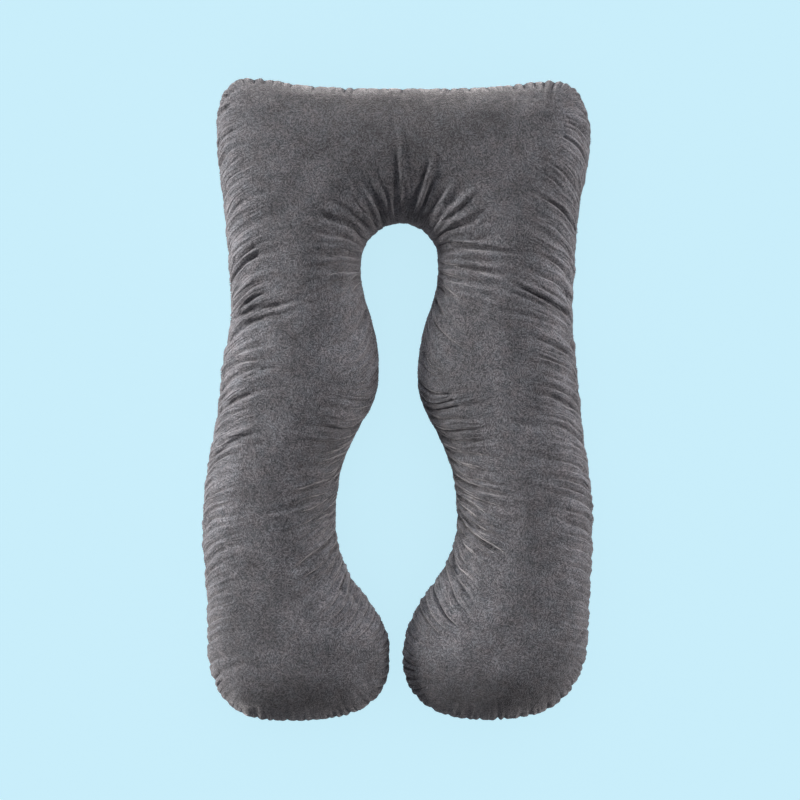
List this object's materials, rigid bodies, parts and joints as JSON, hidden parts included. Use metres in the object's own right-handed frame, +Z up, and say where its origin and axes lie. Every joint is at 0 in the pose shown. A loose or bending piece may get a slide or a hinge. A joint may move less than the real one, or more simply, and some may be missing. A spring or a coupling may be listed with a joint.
{
  "type": "body pillow",
  "caption": "U-shaped filled body pillow in short-pile velour, with a crowned front, a gathered waist seam and a flat resting underside.",
  "frame": {"origin": "under the middle of the pillow's outline, on the surface that it lies on", "axes": "+X across the pillow, to the right when seen from above with the head away; +Y from the feet to the head; +Z up, out of the front panel"},
  "size_m": [0.883, 1.4509, 0.2013],
  "materials": {
    "velour": "dark grey short-pile velour, matt, with a soft sheen at its edges"
  },
  "bodies": {
    "root": {"pillow": "velour"}
  },
  "joints": []
}
